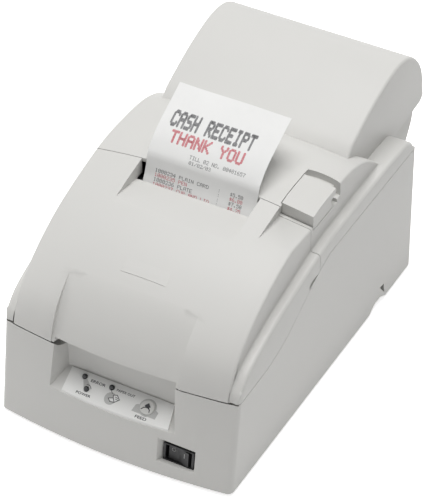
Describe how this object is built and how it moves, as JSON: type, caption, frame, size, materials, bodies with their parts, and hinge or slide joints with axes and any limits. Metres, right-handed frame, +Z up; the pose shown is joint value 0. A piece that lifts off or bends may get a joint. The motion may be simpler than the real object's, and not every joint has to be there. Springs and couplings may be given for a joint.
{
  "type": "receipt printer",
  "caption": "Desktop impact receipt printer with a hinged front cover, a hinged roll cover that carries a take-up hood, a paper slot, a control panel and a power switch.",
  "frame": {"origin": "centre of the bounding box, on the table", "axes": "+Z up, +Y from the front face to the rear hood, +X to the right seen from the front"},
  "size_m": [0.16, 0.288, 0.1652],
  "materials": {
    "case_plastic": "fine moulded texture",
    "housing_plastic": "moulded",
    "panel_film": "printed film",
    "button_plastic": "moulded",
    "lamp_plastic": "clear dark lens",
    "switch_plastic": "satin",
    "dark_plastic": "moulded",
    "gear_plastic": "moulded",
    "zinc_steel": "zinc plated sheet",
    "shaft_steel": "ground",
    "motor_can": "plated can",
    "head_casting": "cast",
    "pinion_brass": "machined",
    "rubber": "matt",
    "paper": "smooth paper",
    "core_board": "wound board",
    "ribbon_cloth": "inked fabric",
    "board_green": "solder mask",
    "chip_black": "moulded",
    "jack_plastic": "moulded"
  },
  "bodies": {
    "base": {"lower_case": "case_plastic", "takeup_housing": "housing_plastic", "front_hinge_pins": "shaft_steel", "rear_hinge_pins": "shaft_steel", "rubber_feet": "rubber", "panel_plate": "panel_film", "status_lamps": "lamp_plastic", "button_switch": "board_green", "switch_bezel": "switch_plastic", "paper_web": "paper", "paper_bay": "dark_plastic", "chassis": "zinc_steel", "guide_shaft": "shaft_steel", "guide_rail": "zinc_steel", "carriage_belt": "rubber", "carriage_motor": "motor_can", "platen": "dark_plastic", "feed_motor": "motor_can", "cutter_body": "zinc_steel", "cutter_blade": "zinc_steel", "cutter_motor": "motor_can", "ribbon_cassette": "dark_plastic", "ribbon": "ribbon_cloth", "main_board": "board_green", "board_parts": "chip_black", "interface_plate": "zinc_steel", "interface_socket": "zinc_steel", "dc_inlet": "dark_plastic", "drawer_jack": "jack_plastic", "takeup_arms": "dark_plastic", "takeup_motor": "motor_can", "chassis_screws": "zinc_steel", "case_screws": "zinc_steel"},
    "front_cover": {"front_cover": "case_plastic"},
    "roll_cover": {"roll_cover": "case_plastic", "takeup_hood": "case_plastic", "lever_pin": "shaft_steel", "receipt": "paper"},
    "open_lever": {"open_lever": "case_plastic"},
    "feed_button": {"feed_button": "button_plastic"},
    "power_rocker": {"power_rocker": "switch_plastic"},
    "roll": {"paper_roll": "paper", "roll_core": "core_board"},
    "carriage": {"carriage": "dark_plastic", "print_head": "head_casting"},
    "drive_pulley": {"drive_pulley": "gear_plastic"},
    "idler_pulley": {"idler_pulley": "gear_plastic"},
    "feed_roller": {"feed_roller": "rubber"},
    "pinch_roller": {"pinch_roller": "rubber"},
    "idler_gear": {"idler_gear": "gear_plastic"},
    "feed_pinion": {"feed_pinion": "pinion_brass"},
    "ribbon_knob": {"ribbon_knob": "dark_plastic"},
    "takeup_spool": {"takeup_spool": "dark_plastic", "journal_paper": "paper"},
    "takeup_pinion": {"takeup_pinion": "pinion_brass"}
  },
  "joints": [
    {"name": "front_cover_hinge", "type": "hinge", "parent": "base", "child": "front_cover", "pos_m": [0, -0.1252, 0.0705], "axis": [1, 0, 0], "range_deg": [0, 80]},
    {"name": "roll_cover_hinge", "type": "hinge", "parent": "base", "child": "roll_cover", "pos_m": [0, 0.097, 0.09], "axis": [-1, 0, 0], "range_deg": [0, 70]},
    {"name": "open_lever_pivot", "type": "hinge", "parent": "roll_cover", "child": "open_lever", "pos_m": [0.06, -0.0015, 0.1284], "axis": [-1, 0, 0], "range_deg": [0, 25], "stiffness_Nm_per_rad": 0.05, "springref_deg": -2.86},
    {"name": "feed_button_press", "type": "slide", "parent": "base", "child": "feed_button", "axis": [0, 0.5, -0.866], "range_m": [0, 0.001], "stiffness_N_per_m": 300, "springref_m": -0.0006},
    {"name": "power_rocker_tilt", "type": "hinge", "parent": "base", "child": "power_rocker", "pos_m": [0.044, -0.13277, 0.0169], "axis": [0, 0.1522, 0.9884], "range_deg": [0, 18]},
    {"name": "paper_roll_turn", "type": "hinge", "parent": "base", "child": "roll", "pos_m": [0, 0.034, 0.0478], "axis": [1, 0, 0], "continuous": true},
    {"name": "carriage_slide", "type": "slide", "parent": "base", "child": "carriage", "axis": [1, 0, 0], "range_m": [-0.032, 0.032]},
    {"name": "drive_pulley_spin", "type": "hinge", "parent": "base", "child": "drive_pulley", "pos_m": [-0.046, -0.088, 0.041], "axis": [0, 0, 1], "range_deg": [-300, 300]},
    {"name": "idler_pulley_spin", "type": "hinge", "parent": "base", "child": "idler_pulley", "pos_m": [0.048, -0.088, 0.041], "axis": [0, 0, 1], "range_deg": [-300, 300]},
    {"name": "feed_roller_spin", "type": "hinge", "parent": "base", "child": "feed_roller", "pos_m": [0, -0.031, 0.061], "axis": [1, 0, 0], "continuous": true},
    {"name": "pinch_roller_spin", "type": "hinge", "parent": "base", "child": "pinch_roller", "pos_m": [0, -0.042, 0.061], "axis": [1, 0, 0], "continuous": true},
    {"name": "idler_gear_spin", "type": "hinge", "parent": "base", "child": "idler_gear", "pos_m": [0.07, -0.0466, 0.0454], "axis": [1, 0, 0], "continuous": true},
    {"name": "feed_pinion_spin", "type": "hinge", "parent": "base", "child": "feed_pinion", "pos_m": [0.07, -0.05711, 0.03489], "axis": [1, 0, 0], "continuous": true},
    {"name": "ribbon_knob_turn", "type": "hinge", "parent": "base", "child": "ribbon_knob", "pos_m": [-0.036, -0.092, 0.093], "axis": [0, 0, 1], "continuous": true},
    {"name": "takeup_spool_spin", "type": "hinge", "parent": "base", "child": "takeup_spool", "pos_m": [0, 0.113, 0.115], "axis": [1, 0, 0], "continuous": true},
    {"name": "takeup_pinion_spin", "type": "hinge", "parent": "base", "child": "takeup_pinion", "pos_m": [0.048, 0.11634, 0.09603], "axis": [1, 0, 0], "continuous": true}
  ],
  "couplings": [
    {"joint": "drive_pulley_spin", "follows": "carriage_slide", "rad_per_m": -144.93},
    {"joint": "idler_pulley_spin", "follows": "carriage_slide", "rad_per_m": -144.93},
    {"joint": "pinch_roller_spin", "follows": "feed_roller_spin", "ratio": -0.96154},
    {"joint": "idler_gear_spin", "follows": "feed_roller_spin", "ratio": -1.2},
    {"joint": "feed_pinion_spin", "follows": "feed_roller_spin", "ratio": 2.5},
    {"joint": "takeup_pinion_spin", "follows": "takeup_spool_spin", "ratio": -3}
  ]
}
